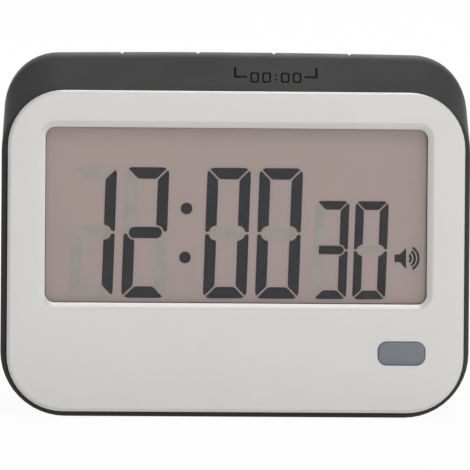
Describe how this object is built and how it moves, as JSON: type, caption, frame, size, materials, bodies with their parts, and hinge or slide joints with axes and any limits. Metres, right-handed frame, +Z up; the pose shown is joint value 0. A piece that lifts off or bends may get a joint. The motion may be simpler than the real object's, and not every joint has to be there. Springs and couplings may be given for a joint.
{
  "type": "digital kitchen timer",
  "caption": "Free-standing digital kitchen timer: leaning case with a large liquid-crystal window, keys along its crest, an oval face key, magnets, buzzer and hinged battery door at the back.",
  "frame": {"origin": "middle of the bounding box's bottom, on the table under the case", "axes": "+X to the right seen from the front, the face looks towards -Y, +Z up"},
  "size_m": [0.0926, 0.036, 0.0704],
  "materials": {
    "bezel_plastic": "light grey moulded plastic, fine satin grain",
    "housing_plastic": "dark grey soft-touch plastic",
    "key_plastic": "dark grey soft-touch plastic",
    "start_key_plastic": "blue-grey moulded plastic",
    "clear_lens": "clear polished plastic",
    "display_glass": "display glass with polarising film",
    "reflector_film": "satin reflector film",
    "white_plastic": "plain moulded plastic",
    "strip_rubber": "layered conductive rubber",
    "circuit_board": "green solder mask",
    "black_resin": "cast resin",
    "switch_plastic": "plain moulded plastic",
    "plated_steel": "nickel plated",
    "magnet_plate": "nickel plated",
    "buzzer_brass": "rolled brass",
    "buzzer_white": "fired ceramic with a thin silver layer",
    "cell_sleeve": "plain shrink sleeve",
    "red_lead": "plain insulation",
    "black_lead": "plain insulation"
  },
  "bodies": {
    "case": {"front_bezel": "bezel_plastic", "window_lens": "clear_lens", "lcd_front_glass": "display_glass", "lcd_rear_glass": "display_glass", "lcd_reflector": "reflector_film", "lcd_holder": "white_plastic", "zebra_strip": "strip_rubber", "main_board": "circuit_board", "chip_blob": "black_resin", "quartz_crystal": "plated_steel", "board_screw_left": "plated_steel", "board_screw_right": "plated_steel", "hour_switch": "switch_plastic", "minute_switch": "switch_plastic", "second_switch": "switch_plastic", "start_switch": "switch_plastic", "slide_switch": "plated_steel", "battery_lead_plus": "red_lead", "battery_lead_minus": "black_lead", "buzzer_lead_a": "black_lead", "buzzer_lead_b": "red_lead", "rear_housing": "housing_plastic", "battery_upper": "cell_sleeve", "battery_lower": "cell_sleeve", "contact_link": "plated_steel", "contact_plus": "plated_steel", "contact_minus": "plated_steel", "spring_upper": "plated_steel", "spring_lower": "plated_steel", "magnet_left": "magnet_plate", "magnet_right": "magnet_plate", "buzzer_disc": "buzzer_brass", "buzzer_ceramic": "buzzer_white", "case_screw_left": "plated_steel", "case_screw_right": "plated_steel"},
    "hour_key": {"hour_key": "key_plastic", "hour_plunger": "white_plastic"},
    "minute_key": {"minute_key": "key_plastic", "minute_plunger": "white_plastic"},
    "second_key": {"second_key": "key_plastic", "second_plunger": "white_plastic"},
    "start_stop_key": {"start_stop_key": "start_key_plastic", "start_plunger": "white_plastic"},
    "battery_door": {"battery_door": "housing_plastic"},
    "volume_slider": {"volume_slider": "key_plastic", "slide_switch_lever": "switch_plastic"}
  },
  "joints": [
    {"name": "hour_key_press", "type": "slide", "parent": "case", "child": "hour_key", "axis": [0, -0.1392, -0.9903], "range_m": [0, 0.0008], "stiffness_N_per_m": 800, "springref_m": -0.0005},
    {"name": "minute_key_press", "type": "slide", "parent": "case", "child": "minute_key", "axis": [0, -0.1392, -0.9903], "range_m": [0, 0.0008], "stiffness_N_per_m": 800, "springref_m": -0.0005},
    {"name": "second_key_press", "type": "slide", "parent": "case", "child": "second_key", "axis": [0, -0.1392, -0.9903], "range_m": [0, 0.0008], "stiffness_N_per_m": 800, "springref_m": -0.0005},
    {"name": "start_stop_key_press", "type": "slide", "parent": "case", "child": "start_stop_key", "axis": [0, 0.9903, -0.1392], "range_m": [0, 0.0006], "stiffness_N_per_m": 1000, "springref_m": -0.0005},
    {"name": "battery_door_hinge", "type": "hinge", "parent": "case", "child": "battery_door", "pos_m": [0, 0.00872, 0.00446], "axis": [-1, 0, 0], "range_deg": [0, 75]},
    {"name": "volume_slide", "type": "slide", "parent": "case", "child": "volume_slider", "axis": [1, 0, 0], "range_m": [-0.002, 0.002]}
  ]
}
